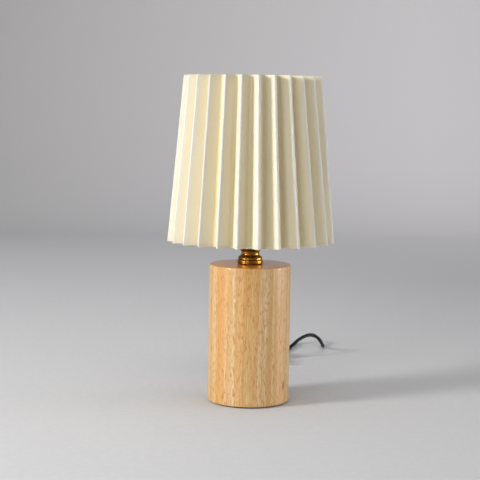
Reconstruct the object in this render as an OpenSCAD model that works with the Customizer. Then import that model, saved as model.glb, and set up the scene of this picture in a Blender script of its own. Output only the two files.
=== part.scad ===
// Table lamp: turned wooden base, brass neck, pleated cloth shade on a wire frame, mains cord.
// Origin at the centre of the base's underside, +Z up, the back of the lamp towards +Y.

/* [Base] */
// Diameter of the turned wooden base
base_d = 88; // [76:1:130]
// Height of the wooden base, without its pad
base_h = 148; // [100:1:220]
// Rounding of the base's upper edge
base_round = 1.5; // [0.5:0.1:4]
// Chamfer of the base's lower edge
base_chamfer = 1; // [0.3:0.1:3]
// Thickness of the felt pad under the base
pad_t = 1.5; // [1:0.1:4]
// How far the pad stays back from the base's edge
pad_inset = 4; // [2:0.5:10]
// Diameter of the recess under the base
recess_d = 46; // [36:1:56]
// Depth of the recess under the base
recess_h = 26; // [24:1:40]

/* [Centre tube] */
// Outside diameter of the hollow threaded tube
tube_d = 10; // [8:0.5:13]
// Wall of the threaded tube
tube_wall = 1.2; // [0.8:0.1:1.5]
// How far the tube stands out of the nut below
tube_end = 1; // [0.5:0.1:3]
// Diameter of the washer in the recess
washer_d = 24; // [19:1:32]
// Thickness of the washer
washer_t = 1.5; // [1:0.1:3]
// Width of the nut across its flats
nut_flats = 15; // [14.5:0.5:17]
// Thickness of the nut
nut_t = 5; // [3:0.5:7]

/* [Neck] */
// Height of the brass neck
neck_h = 16.5; // [15:0.5:30]
// Diameter of the neck's foot
neck_foot_d = 27.4; // [26:0.1:36]
// Height of the neck's foot
neck_foot_h = 5; // [3:0.1:6]
// Diameter of the neck's waist
neck_waist_d = 19.6; // [17:0.1:21]
// Diameter of the lip at the neck's top
neck_lip_d = 21.9; // [21.8:0.1:26]

/* [Lampholder] */
// Diameter of the outer sleeve's thread
sleeve_d = 39; // [38:0.5:44]
// Height of the lower cap
cap_h = 20; // [18:0.5:26]
// Wall of the cap and of the sleeve
holder_wall = 1.2; // [0.8:0.1:1.6]
// Height of the sleeve above the cap
sleeve_h = 30; // [28:1:40]
// Height of the shade's seat above the sleeve's lower end
seat_rise = 12.7; // [10:0.1:14]
// Diameter of the flange that carries the shade
seat_d = 48; // [46:1:56]
// Thickness of that flange
seat_t = 2; // [1.5:0.1:3]
// Outside diameter of the ring nut over the shade's fitter
ring_nut_d = 56; // [50:1:64]
// Height of the ring nut
ring_nut_h = 6.5; // [5:0.5:9]
// Inside diameter of the screw shell
shell_bore = 26.8; // [26.8:0.1:27.4]
// Height of the screw shell
shell_h = 22; // [18:0.5:24]

/* [Bulb] */
// Largest diameter of the glass globe
globe_d = 60; // [45:1:66]
// Length of the whole bulb
bulb_l = 105; // [95:1:115]
// Diameter of the bulb's screw cap
bulb_cap_d = 26.2; // [25.4:0.1:26.2]
// Height of the bulb's screw cap
bulb_cap_h = 22; // [18:0.5:24]

/* [Shade] */
// Diameter of the shade's lower edge, over the pleats
shade_bottom_d = 180; // [168:1:220]
// Diameter of the shade's upper edge, over the pleats
shade_top_d = 148; // [140:1:180]
// Height of the pleated cloth
shade_h = 176.5; // [150:0.5:240]
// Number of pleats
pleats = 25; // [20:5:30]
// Depth of a pleat at the lower edge
pleat_depth = 15; // [12:0.5:18]
// Rounding of the ridges, at the middle of the cloth
ridge_round = 0.8; // [0.6:0.1:1.5]
// Rounding of the valleys, at the middle of the cloth
valley_round = 3; // [1:0.5:3.5]
// Thickness of the stiffened cloth
cloth_t = 0.8; // [0.5:0.1:1]
// Wire of the two rings and the struts
frame_wire_d = 2.5; // [2:0.1:3.5]
// Wire of the three arms
arm_wire_d = 3; // [2:0.1:4]
// How far the fitter sits above the lower edge
fitter_rise = 25; // [16:0.1:34]
// Outside diameter of the fitter
fitter_d = 56; // [50:1:64]
// Thickness of the fitter
fitter_t = 1.6; // [1:0.1:2.5]

/* [Cord and fittings] */
// Diameter of the mains cord
cord_d = 4.2; // [3.6:0.1:4.6]
// Length of the strain relief outside the base
boot_l = 22; // [20:1:30]
// Diameter of the hole for the strain relief
boot_hole_d = 8; // [7:0.5:9]
// Length of the switch
switch_l = 58; // [52:1:70]
// Width of the switch
switch_w = 26; // [22:1:30]
// Height of the switch's housing
switch_h = 17; // [16:0.5:22]
// Width of the plug over its two pins
plug_w = 35.3; // [33:0.1:38]
// Thickness of the plug
plug_t = 13.7; // [12:0.1:14.2]
// Length of the plug's body
plug_l = 34; // [30:1:36]
// Distance between the pins
pin_gap = 19; // [18:0.5:19]

/* [Hidden] */
$fn = 96;

// Clearances
seated = 0.1;
loose = 0.3;
running = 0.08;
shade_play = 0.2;
overshoot = 1;

// Heights of what is stacked on the base
base_low = pad_t;
base_top = base_low + base_h;
recess_top = base_low + recess_h;
neck_top = base_top + neck_h;
tube_bore_r = tube_d / 2 - tube_wall;
tube_low = recess_top - washer_t - nut_t - tube_end;
tube_seat_h = 9;
tube_top = neck_top + tube_seat_h + tube_end;
nut_corner_r = nut_flats / 2 / cos(30);

// Lampholder, from the neck upwards
sleeve_low = neck_top + cap_h;
sleeve_top = sleeve_low + sleeve_h;
seat_z = sleeve_low + seat_rise;
sleeve_bore_r = sleeve_d / 2 - 2 * holder_wall;
cap_r = sleeve_bore_r + holder_wall;
cap_boss_r = 8.5;
cap_boss_h = 4;
cap_lip_drop = 4;
core_r = sleeve_bore_r - 0.7;
core_h = 11;
core_low = sleeve_low - cap_lip_drop;
core_top = core_low + core_h;
core_ledge = 1.5;
terminal_x = 8;
terminal_hole_r = 1.6;
terminal_hole_h = 6;
screw_thread_r = 1.5;
screw_head_r = 2.6;
screw_head_t = 1.6;
screw_z = core_low + 3;
shell_t = 0.5;
shell_r = shell_bore / 2;
contact_t = 0.4;
contact_rise = 2.5;
contact_w = 7;
contact_span = 15;
sleeve_lip_t = 1.5;
sleeve_lip_r = shell_r + shell_t + 1;

// Bulb, from its contact upwards
bulb_low = core_top + contact_rise + shade_play;
tip_r = 4.8;
tip_h = 1.5;
insulator_h = 3.5;
insulator_top_r = 9.6;
cap_low = bulb_low + tip_h + insulator_h;
cap_top = cap_low + bulb_cap_h;
bulb_cap_t = 0.4;
bulb_cap_r = bulb_cap_d / 2;
globe_neck_r = bulb_cap_r - bulb_cap_t - seated;
globe_neck_in = 3;
globe_r = globe_d / 2;
glass_t = 1;
bulb_top = bulb_low + bulb_l;
globe_centre_z = bulb_top - globe_r;

// Shade: the fitter sits on the flange, and the cloth hangs round it
fitter_z = seat_z + shade_play;
fitter_bore_r = sleeve_d / 2 + 0.9;
ring_nut_z = fitter_z + fitter_t + shade_play;
ring_nut_notches = 24;
shade_low = fitter_z - fitter_rise;
pleat_step = 360 / pleats;
first_ridge = 6.2;
ridge_points = 2;
valley_points = 6;
ring_inset = 4;
wire_r = frame_wire_d / 2;
arm_r = arm_wire_d / 2;
strut_r = 0.84 * wire_r;
struts = 5;
arms = 3;
first_arm = 105;

// Cord: the routes are points in millimetres, chosen by hand
cord_r = cord_d / 2;
bend_r = 9;
gland_z = tube_low - bend_r;
cord_sides = 8;
coil_sides = 6;
coil_steps = 24;
coil_turns = 6.5;
coil_outer_r = 32;
coil_pitch = 4.7;
coil_centre = [-4, 150];
coil_z = 3;
straight_end = 4.2;
switch_centre = [9, 240, 8.5];
plug_face = [-19, 204, 7.2];
socket_l = 4;
route_to_switch = [
    [0, 66, 11], [0, 72, 11], [0, 79, 10.8], [-1.2, 86, 10], [-4.6, 93.5, 8.5], [-10.5, 101, 6.5],
    [-18.5, 107.5, 4.6], [-27, 113.5, 3.2], [-34.5, 120.5, 2.5], [-40.2, 129.5, 2.2],
    [-43.6, 140.5, 2.2], [-44.5, 153, 2.2], [-44.5, 166, 2.2], [-44.5, 179, 2.2],
    [-44.5, 191, 2.3], [-44.5, 202, 2.7], [-44.5, 212, 3.4], [-44.5, 220, 4.2],
    [-43, 227.7, 5.3], [-38.6, 234.1, 6.6], [-32.2, 238.5, 7.8], [-24.5, 240, 8.5], [-16, 240, 8.5]
];
route_from_switch = [
    [34, 240, 8.5], [39.5, 240, 8.5], [44, 240.4, 9], [48, 241.3, 10.5], [53, 243.2, 13.1], [58, 245.8, 17],
    [64, 250, 21.6], [71, 256, 25.1], [78, 263, 26.8], [84.5, 270, 25.9], [90.5, 278.5, 21.5],
    [95.5, 288, 14.6], [98.3, 297.6, 9.4], [100.2, 306.9, 6], [100.9, 316.7, 3.2],
    [100.8, 327.5, 2.3], [99.8, 337.4, 4.7], [95.4, 345.8, 9], [86.5, 350.7, 11.4],
    [76.7, 351.8, 9.1], [68.5, 347.4, 4.5], [63.9, 338.6, 2.2], [62.2, 328.4, 2.8],
    [60.5, 318, 3.4], [57.7, 307.8, 3], [54.5, 297.4, 2.4], [52.1, 287.7, 2.3],
    [50.2, 277.1, 2.2], [49.1, 266.8, 2.2], [48.3, 255.3, 2.2],
    [47.8, 246, 2.2], [47, 232, 2.2], [46, 218, 2.2], [44.2, 205, 2.2], [41.2, 193, 2.2],
    [37.2, 182, 2.3], [33, 172, 2.5], [29.2, 164.5, 2.8], [28, 158.6, 3], [28, 154.2, 3]
];
route_to_plug = [
    [-36, 154.2, 7.7], [-36, 165, 7.7], [-36, 176, 7.6], [-35.8, 187, 7.5],
    [-33.2, 195, 7.4], [-27.6, 201.2, 7.3], [-19.5, 204, 7.2], [-15, 204, 7.2]
];

function unit(v) = v / norm(v);
function mix(a, b, k) = a + (b - a) * k;

// Points of an arc, from angle a to angle b
function arc(centre, r, a, b, steps) =
    [for (i = [0:steps]) let (t = mix(a, b, i / steps)) centre + r * [cos(t), sin(t)]];

// Direction of a route at one of its points
function along(route, i) =
    unit(route[min(i + 1, len(route) - 1)] - route[max(i - 1, 0)]);

// A ring of points round a route's point, square to the route; an upright route bends in the XZ plane
function ring(centre, dir, r, sides) =
    let (
        side = abs(dir.z) > 0.5 ? [0, 1, 0] : unit(cross(dir, [0, 0, 1])),
        up = cross(side, dir)
    )
    [for (k = [0:sides - 1]) centre + r * (cos(360 * k / sides) * side + sin(360 * k / sides) * up)];

// A closed tube along a route, one ring at each point
module swept_tube(route, r, sides) {
    last = len(route) - 1;
    points = [for (i = [0:last]) each ring(route[i], along(route, i), r, sides)];
    walls = [
        for (i = [0:last - 1], k = [0:sides - 1])
            let (a = i * sides + k, b = i * sides + (k + 1) % sides)
            each [[a, b, b + sides], [a, b + sides, a + sides]]
    ];
    start = [for (k = [1:sides - 2]) [0, k + 1, k]];
    end = [for (k = [1:sides - 2]) [last * sides, last * sides + k, last * sides + k + 1]];
    polyhedron(points = points, faces = concat(walls, start, end), convexity = 10);
}

// A rod between two points
module rod(a, b, r) {
    d = b - a;
    translate(a)
        rotate([0, acos(d.z / norm(d)), atan2(d.y, d.x)])
            cylinder(r = r, h = norm(d));
}

// A bent round bar in the XY plane, from an angle onwards
module elbow(bend, r, from, turn) {
    rotate(from)
        rotate_extrude(angle = turn)
            translate([bend, 0])
                circle(r);
}

// A torus with its axis along Z
module hoop(hoop_r, r) {
    rotate_extrude()
        translate([hoop_r, 0])
            circle(r);
}

// A flat rectangle with round corners, centred
module rounded_rectangle(size, r) {
    square([size.x - 2 * r, size.y], center = true);
    square([size.x, size.y - 2 * r], center = true);
    for (x = [-1, 1], y = [-1, 1])
        translate([x * (size.x / 2 - r), y * (size.y / 2 - r)])
            circle(r);
}

// Felt disc that closes the recess
module base_pad() {
    color("dimgray")
        cylinder(d = base_d - 2 * pad_inset, h = pad_t);
}

// Wooden cylinder with its bore, recess, cord hole and spot face
module wood_base() {
    spot_y = base_d / 2 - spot_depth;
    color("burlywood")
        difference() {
            rotate_extrude()
                polygon(concat(
                    [[0, base_low], [base_d / 2 - base_chamfer, base_low], [base_d / 2, base_low + base_chamfer]],
                    arc([base_d / 2 - base_round, base_top - base_round], base_round, 0, 90, 8),
                    [[0, base_top]]
                ));
            translate([0, 0, base_low - overshoot])
                cylinder(d = recess_d, h = recess_h + overshoot);
            translate([0, 0, base_low])
                cylinder(r = tube_d / 2 + seated, h = base_h + overshoot);
            translate([0, 0, gland_z])
                rotate([-90, 0, 0])
                    cylinder(d = boot_hole_d, h = base_d);
            translate([0, spot_y, gland_z])
                rotate([-90, 0, 0])
                    cylinder(r = boot_flange_r + loose, h = base_d);
        }
}
spot_depth = 1;
boot_flange_r = 5.5;
boot_flange_t = 2;

// Hollow threaded tube through the whole stack
module threaded_tube() {
    color("silver")
        translate([0, 0, tube_low])
            difference() {
                cylinder(d = tube_d, h = tube_top - tube_low);
                translate([0, 0, -overshoot])
                    cylinder(r = tube_bore_r, h = tube_top - tube_low + 2 * overshoot);
            }
}

module bottom_washer() {
    color("silver")
        translate([0, 0, recess_top - washer_t])
            difference() {
                cylinder(d = washer_d, h = washer_t);
                translate([0, 0, -overshoot])
                    cylinder(r = tube_d / 2 + loose, h = washer_t + 2 * overshoot);
            }
}

// Hexagonal nut with chamfered corners
module bottom_nut() {
    color("silver")
        translate([0, 0, tube_low + tube_end])
            difference() {
                intersection() {
                    cylinder(r = nut_corner_r, h = nut_t, $fn = 6);
                    rotate_extrude()
                        polygon([
                            [0, 0], [nut_flats / 2, 0], [nut_corner_r, nut_t / 6],
                            [nut_corner_r, nut_t * 5 / 6], [nut_flats / 2, nut_t], [0, nut_t]
                        ]);
                }
                translate([0, 0, -overshoot])
                    cylinder(r = tube_d / 2 + seated, h = nut_t + 2 * overshoot);
            }
}

// Turned brass neck: bulged foot, groove, ovolo, quirk, cove and lip
module brass_neck() {
    foot_r = neck_foot_d / 2;
    foot_edge_r = foot_r - 0.9;
    groove_r = foot_r - 1.6;
    groove_h = 0.5;
    ovolo_low_r = foot_r - 0.6;
    ovolo_top_r = foot_r - 1.6;
    ovolo_low = neck_foot_h + groove_h + 0.2;
    ovolo_top = ovolo_low + 2.6;
    quirk_r = ovolo_top_r - 0.6;
    quirk_h = 0.4;
    cove_r = ovolo_top_r - 0.7;
    cove_low = ovolo_top + quirk_h;
    waist_r = neck_waist_d / 2;
    waist_z = cove_low + 2.6;
    lip_r = neck_lip_d / 2;
    lip_low = neck_h - 1.7;
    color("darkgoldenrod")
        translate([0, 0, base_top])
            difference() {
                rotate_extrude()
                    polygon(concat(
                        [[0, 0]],
                        bulge(foot_edge_r, foot_r, 0, neck_foot_h, 8),
                        [[groove_r, neck_foot_h + 0.1], [groove_r, neck_foot_h + groove_h]],
                        quarter([ovolo_low_r, ovolo_low], [ovolo_top_r, ovolo_top], 6),
                        [[quirk_r, ovolo_top + 0.1], [quirk_r, cove_low]],
                        cove([cove_r, cove_low + 0.1], [waist_r, waist_z], 6),
                        quarter([waist_r, waist_z + 0.3], [lip_r - 0.3, lip_low], 7),
                        [[lip_r, lip_low + 0.3], [lip_r, neck_h - 0.4], [lip_r - 0.4, neck_h], [0, neck_h]]
                    ));
                translate([0, 0, -overshoot])
                    cylinder(r = tube_d / 2 + seated, h = neck_h + 2 * overshoot);
            }
}

// Profile pieces, from the lower to the upper point
function bulge(r0, r1, z0, z1, steps) =
    [for (i = [0:steps]) let (k = i / steps) [r0 + (r1 - r0) * sqrt(1 - pow(2 * k - 1, 4)), mix(z0, z1, k)]];
function quarter(a, b, steps) =
    [for (i = [0:steps]) let (t = 90 * i / steps) [mix(b.x, a.x, cos(t)), mix(a.y, b.y, sin(t))]];
function cove(a, b, steps) =
    [for (i = [0:steps]) let (t = 90 * i / steps) [mix(a.x, b.x, sin(t)), mix(b.y, a.y, cos(t))]];

// Lower cap of the lampholder, a spun shell with a threaded boss
module holder_cap() {
    shoulder_z = neck_top + cap_boss_h;
    color("goldenrod")
        difference() {
            rotate_extrude()
                polygon(concat(
                    [[0, neck_top], [cap_boss_r, neck_top], [cap_boss_r, shoulder_z]],
                    quarter_out([cap_boss_r, shoulder_z], [cap_r, core_low - 2], 8),
                    [[cap_r, sleeve_low], [0, sleeve_low]]
                ));
            rotate_extrude()
                polygon(concat(
                    [[0, neck_top + tube_seat_h - 2]],
                    [[cap_boss_r, neck_top + tube_seat_h - 2], [core_r - core_ledge, core_low - 1.5]],
                    [[core_r - core_ledge, core_low], [core_r + seated, core_low]],
                    [[sleeve_bore_r, core_low + 0.5], [sleeve_bore_r, sleeve_low + overshoot]],
                    [[0, sleeve_low + overshoot]]
                ));
            translate([0, 0, neck_top - overshoot])
                cylinder(r = tube_d / 2 + seated, h = cap_h);
        }
}
function quarter_out(a, b, steps) =
    [for (i = [1:steps]) let (t = 90 * i / steps) [mix(a.x, b.x, sin(t)), mix(b.y, a.y, cos(t))]];

// Porcelain core that carries the contacts and the terminals
module porcelain_core() {
    color("ivory")
        difference() {
            translate([0, 0, core_low])
                cylinder(r = core_r, h = core_h);
            for (side = [-1, 1]) {
                translate([side * terminal_x, 0, core_low - overshoot])
                    cylinder(r = terminal_hole_r, h = terminal_hole_h + overshoot);
                translate([0, 0, screw_z])
                    rotate([0, side * 90, 0]) {
                        translate([0, 0, terminal_x])
                            cylinder(r = screw_thread_r + seated, h = core_r);
                        translate([0, 0, core_r - screw_head_t - 1])
                            cylinder(r = screw_head_r + seated, h = core_r);
                    }
            }
            translate([0, 0, core_low - overshoot])
                cylinder(r = 3, h = 2 + overshoot);
        }
}

// Two slotted terminal screws
module terminal_screws() {
    head_low = core_r - screw_head_t - 1;
    color("gold")
        for (side = [-1, 1])
            translate([0, 0, screw_z])
                rotate([0, side * 90, 0])
                    difference() {
                        union() {
                            translate([0, 0, terminal_x + terminal_hole_r])
                                cylinder(r = screw_thread_r, h = head_low - terminal_x - terminal_hole_r);
                            translate([0, 0, head_low])
                                cylinder(r = screw_head_r, h = screw_head_t);
                        }
                        translate([0, 0, head_low + screw_head_t])
                            cube([2 * screw_head_r + overshoot, 0.7, 1.2], center = true);
                    }
}

// Screw shell, with a flange under it that rests on the core
module screw_shell() {
    color("gold")
        translate([0, 0, core_top])
            rotate_extrude()
                polygon([
                    [contact_span / 2 + 1, 0], [shell_r + shell_t, 0], [shell_r + shell_t, shell_h],
                    [shell_r, shell_h], [shell_r, shell_t], [contact_span / 2 + 1, shell_t]
                ]);
}

// Sprung tongue under the bulb's tip
module centre_contact() {
    half = contact_span / 2;
    flat = 3;
    crown = 2.5;
    color("gold")
        translate([0, 0, core_top])
            rotate([90, 0, 0])
                linear_extrude(contact_w, center = true)
                    polygon([
                        [-half, 0], [-half + flat, 0], [-crown, contact_rise - contact_t],
                        [crown, contact_rise - contact_t], [half - flat, 0], [half, 0],
                        [half, contact_t], [half - flat + 0.1, contact_t], [crown, contact_rise],
                        [-crown, contact_rise], [-half + flat - 0.1, contact_t], [-half, contact_t]
                    ]);
}

// Outer sleeve with the flange that the shade rests on
module holder_sleeve() {
    r = sleeve_d / 2;
    seat_under = seat_z - seat_t;
    color("goldenrod")
        rotate_extrude()
            polygon([
                [sleeve_bore_r, sleeve_low], [cap_r, sleeve_low], [cap_r, seat_under - 1.5],
                [cap_r + 1.5, seat_under], [seat_d / 2 - 0.5, seat_under], [seat_d / 2, seat_under + 0.5],
                [seat_d / 2, seat_z - 0.3], [seat_d / 2 - 0.3, seat_z], [r, seat_z],
                [r, sleeve_top - 0.8], [r - 0.8, sleeve_top], [sleeve_lip_r, sleeve_top],
                [sleeve_lip_r, sleeve_top - sleeve_lip_t], [sleeve_bore_r, sleeve_top - sleeve_lip_t - 1]
            ]);
}

// Ring nut that holds the shade down, with grip notches
module shade_ring_nut() {
    r = ring_nut_d / 2;
    color("goldenrod")
        translate([0, 0, ring_nut_z])
            difference() {
                rotate_extrude()
                    polygon([
                        [sleeve_d / 2 + seated, 0], [r - 0.5, 0], [r, 0.5], [r, ring_nut_h - 2.5],
                        [r - 2, ring_nut_h - 1], [sleeve_d / 2 + 3, ring_nut_h], [sleeve_d / 2 + seated, ring_nut_h]
                    ]);
                for (i = [0:ring_nut_notches - 1])
                    rotate(360 * i / ring_nut_notches)
                        translate([r + 0.7, 0, -overshoot])
                            cylinder(r = 1.4, h = ring_nut_h + 2 * overshoot);
            }
}

// Glass envelope, hollow, with its neck inside the cap
module bulb_globe() {
    color("white")
        rotate_extrude()
            difference() {
                globe_outline(0);
                globe_outline(glass_t);
            }
}

// Half section of the globe, drawn in by a wall
module globe_outline(wall) {
    r = globe_r - wall;
    neck_r = globe_neck_r - wall;
    low = cap_top - globe_neck_in - (wall > 0 ? overshoot : 0);
    join_a = -38;
    join = [r * cos(join_a), globe_centre_z + r * sin(join_a)];
    polygon(concat(
        [[0, low], [neck_r, low], [neck_r, cap_top + 2]],
        [for (k = [0.25:0.25:0.75]) [mix(neck_r, join.x, pow(k, 1.6)), mix(cap_top + 2, join.y, k)]],
        arc([0, globe_centre_z], r, join_a, 90, 24)
    ));
}

module bulb_cap() {
    color("lightgray")
        rotate_extrude()
            polygon([
                [insulator_top_r + seated, cap_low], [bulb_cap_r - 1, cap_low],
                [bulb_cap_r, cap_low + 1.5], [bulb_cap_r, cap_top], [bulb_cap_r - bulb_cap_t, cap_top],
                [bulb_cap_r - bulb_cap_t, cap_low + 1.6], [bulb_cap_r - 1.2, cap_low + bulb_cap_t],
                [insulator_top_r + seated, cap_low + bulb_cap_t]
            ]);
}

// Dark glass cone between the cap and the tip
module bulb_insulator() {
    color("black")
        rotate_extrude()
            polygon([
                [0, bulb_low + tip_h], [tip_r, bulb_low + tip_h],
                [insulator_top_r, cap_low - loose], [insulator_top_r - 1, cap_low - loose + 1.2],
                [0, cap_low - loose + 1.2]
            ]);
}

module bulb_contact() {
    color("silver")
        rotate_extrude()
            polygon([
                [0, bulb_low], [tip_r - 1.5, bulb_low], [tip_r, bulb_low + 0.9],
                [tip_r, bulb_low + tip_h], [0, bulb_low + tip_h]
            ]);
}

// Distances from the axis to the centres of the ridges' and valleys' roundings, at a height from 0 to 1.
// The faces of the pleats keep their directions up the shade, so each of them is flat.
half_step = pleat_step / 2;
function ridge_centre(k) = mix(shade_bottom_d, shade_top_d, k) / 2 - cloth_t / 2 - ridge_round;
function valley_centre(k) =
    (ridge_centre(k) * cos(face_turn) + ridge_round + valley_round) / cos(face_turn - half_step);
function valley_bottom(k) = valley_centre(k) - valley_round;

// Direction that a pleat's face looks in, from the ridge and the valley at the lower edge
low_ridge = [ridge_centre(0), 0];
low_valley = (low_ridge.x + ridge_round - pleat_depth + valley_round) * [cos(half_step), sin(half_step)];
low_span = low_valley - low_ridge;
face_turn = atan2(low_span.y, low_span.x) - acos((ridge_round + valley_round) / norm(low_span));

// One pleat's cross-section on one side of the cloth: an arc over the ridge, then one in the valley
function pleat_section(k, side) =
    let (
        ridge = [ridge_centre(k), 0],
        valley = valley_centre(k) * [cos(half_step), sin(half_step)],
        low = half_step + 180,
        rise = half_step - face_turn
    )
    concat(
        arc(ridge, ridge_round + side * cloth_t / 2, -face_turn, face_turn, ridge_points),
        arc(valley, valley_round - side * cloth_t / 2, low - rise, low + rise, valley_points)
    );

// The whole cross-section at a height, with the angle of the first ridge
function pleat_loop(k, side) =
    [
        for (i = [0:pleats - 1])
            let (turn = first_ridge - 90 + i * pleat_step, c = cos(turn), s = sin(turn))
            each [
                for (p = pleat_section(k, side))
                    [c * p.x - s * p.y, s * p.x + c * p.y, shade_low + k * shade_h]
            ]
    ];

// Pleated cloth, open at both ends
module shade_cloth() {
    outer_low = pleat_loop(0, 1);
    n = len(outer_low);
    points = concat(outer_low, pleat_loop(1, 1), pleat_loop(1, -1), pleat_loop(0, -1));
    faces = [
        for (band = [0:3], i = [0:n - 1])
            let (
                j = (i + 1) % n,
                lower = band * n,
                upper = ((band + 1) % 4) * n
            )
            [lower + i, upper + i, upper + j, lower + j]
    ];
    color("oldlace")
        polyhedron(points = points, faces = faces, convexity = 20);
}

// Centre line radius of a wire that lies behind the valleys
function frame_r(k) = valley_bottom(k) - cloth_t / 2 - wire_r - seated;
low_k = ring_inset / shade_h;
high_k = 1 - ring_inset / shade_h;
low_ring_z = shade_low + ring_inset;
high_ring_z = shade_low + shade_h - ring_inset;

module top_ring() {
    color("white")
        translate([0, 0, high_ring_z])
            hoop(frame_r(high_k), wire_r);
}

module bottom_ring() {
    color("white")
        translate([0, 0, low_ring_z])
            hoop(frame_r(low_k), wire_r);
}

// Thinner upright wire between the rings, cut to their round sides
module shade_strut(i) {
    turn = first_ridge - 90 + (floor(pleats / struts) * i + 0.5) * pleat_step;
    color("white")
        difference() {
            rotate(turn)
                rod([frame_r(low_k), 0, low_ring_z], [frame_r(high_k), 0, high_ring_z], strut_r);
            translate([0, 0, high_ring_z])
                hoop(frame_r(high_k), wire_r);
            translate([0, 0, low_ring_z])
                hoop(frame_r(low_k), wire_r);
        }
}

// Flat washer that the lampholder passes through
module shade_fitter() {
    color("white")
        translate([0, 0, fitter_z])
            difference() {
                cylinder(d = fitter_d, h = fitter_t);
                translate([0, 0, -overshoot])
                    cylinder(r = fitter_bore_r, h = fitter_t + 2 * overshoot);
            }
}

// Sloping arm from the fitter's rim to the lower ring
module fitter_arm(i) {
    z = fitter_z + fitter_t / 2;
    color("white")
        difference() {
            rotate(first_arm + 360 * i / arms)
                rod([fitter_d / 2 - overshoot, 0, z], [frame_r(low_k), 0, low_ring_z], arm_r);
            translate([0, 0, z - 2 * arm_r])
                cylinder(d = fitter_d, h = 4 * arm_r);
            translate([0, 0, low_ring_z])
                hoop(frame_r(low_k), wire_r);
        }
}

// Strain relief: shank in the wood, flange on the spot face, ribbed tapered boot
module strain_relief() {
    spot_y = base_d / 2 - spot_depth;
    end_y = boot_start + boot_l;
    shank_y = sqrt(pow(recess_d / 2, 2) - pow(boot_hole_d / 2, 2));
    tip_wall = 1;
    ribs = 5;
    rib_step = (boot_l - boot_flange_t - 4) / ribs;
    root_r = boot_hole_d / 2;
    tip_outer = cord_r + seated + tip_wall;
    color("black")
        rotate([-90, 0, 0])
            translate([0, -gland_z, 0])
                difference() {
                    rotate_extrude()
                        polygon(concat(
                            [[0, shank_y], [boot_hole_d / 2 - seated, shank_y]],
                            [[boot_hole_d / 2 - seated, spot_y], [boot_flange_r, spot_y]],
                            [[boot_flange_r, spot_y + boot_flange_t]],
                            [
                                for (i = [0:ribs - 1])
                                    let (
                                        y = spot_y + boot_flange_t + 0.6 + i * rib_step,
                                        r = mix(root_r, tip_outer, i / ribs)
                                    )
                                    each [
                                        [r - 0.7, y - 0.5], [r - 0.7, y + 0.5],
                                        [r, y + 0.9], [r, y + rib_step - 0.9]
                                    ]
                            ],
                            [[tip_outer, end_y - 0.5], [tip_outer - 0.5, end_y], [0, end_y]]
                        ));
                    translate([0, 0, shank_y - overshoot])
                        cylinder(r = cord_r + seated, h = end_y);
                }
}
boot_start = base_d / 2;

// Cord through the strain relief, round into the tube and up to the lampholder
module inner_cord() {
    color("black")
        union() {
            translate([0, bend_r, gland_z])
                rotate([-90, 0, 0])
                    cylinder(r = cord_r, h = boot_start + boot_l - bend_r);
            translate([0, bend_r, gland_z + bend_r])
                rotate([90, 0, -90])
                    elbow(bend_r, cord_r, -90, 90);
            translate([0, 0, gland_z + bend_r])
                cylinder(r = cord_r, h = inner_cord_top - gland_z - bend_r);
        }
}
inner_cord_top = tube_top + 1;
core_wire_r = 0.9;
wire_sides = 10;

// One insulated conductor from the cord's end to its terminal
module core_wire(side) {
    low_x = side * 1.05;
    high_x = side * terminal_x;
    run = core_low - inner_cord_top;
    points = concat(
        [[low_x, 0, inner_cord_top], [low_x, 0, inner_cord_top + 0.1 * run]],
        [for (k = [0.15:0.1:0.95]) [mix(low_x, high_x, (1 - cos(180 * k)) / 2), 0, inner_cord_top + k * run]],
        [[high_x, 0, core_low], [high_x, 0, core_low + terminal_hole_h - 0.5]]
    );
    swept_tube(points, core_wire_r, wire_sides);
}

module live_wire() {
    color("saddlebrown")
        core_wire(1);
}

module neutral_wire() {
    color("royalblue")
        core_wire(-1);
}

// Free stretches of the cord
module cord_to_switch() {
    color("black")
        swept_tube(route_to_switch, cord_r, cord_sides);
}

module cord_from_switch() {
    color("black")
        swept_tube(route_from_switch, cord_r, cord_sides);
}

module cord_to_plug() {
    color("black")
        swept_tube(route_to_plug, cord_r, cord_sides);
}

// Put-away coil: clockwise, inwards below and outwards above, climbing where it turns back
function coil_r(t) = coil_outer_r - coil_pitch * min(t, coil_turns - t);
function coil_height(t) =
    coil_z + coil_pitch * min(1, max(0, (t - coil_turns / 2 + 0.25) * 2));
function coil_point(t) =
    [coil_centre.x + coil_r(t) * cos(360 * t), coil_centre.y - coil_r(t) * sin(360 * t), coil_height(t)];
coil_route = concat(
    [coil_point(0) + [0, straight_end, 0]],
    [for (i = [0:coil_turns * coil_steps]) coil_point(i / coil_steps)],
    [coil_point(coil_turns) + [0, straight_end, 0]]
);
coil_gaps = [
    for (i = [0:len(coil_route) - 1], j = [i + floor(coil_steps / 2):1:len(coil_route) - 1])
        norm(coil_route[i] - coil_route[j]) - cord_d
];

module cord_coil() {
    echo(str("coil length ", route_length(coil_route), " least gap ", min(coil_gaps)));
    echo(str("free lengths ", [for (r = [route_to_switch, route_from_switch, route_to_plug]) route_length(r)]));
    color("black")
        swept_tube(coil_route, cord_r, coil_sides);
}
function route_length(route, i = 0, sum = 0) =
    i >= len(route) - 1 ? sum : route_length(route, i + 1, sum + norm(route[i + 1] - route[i]));

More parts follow.
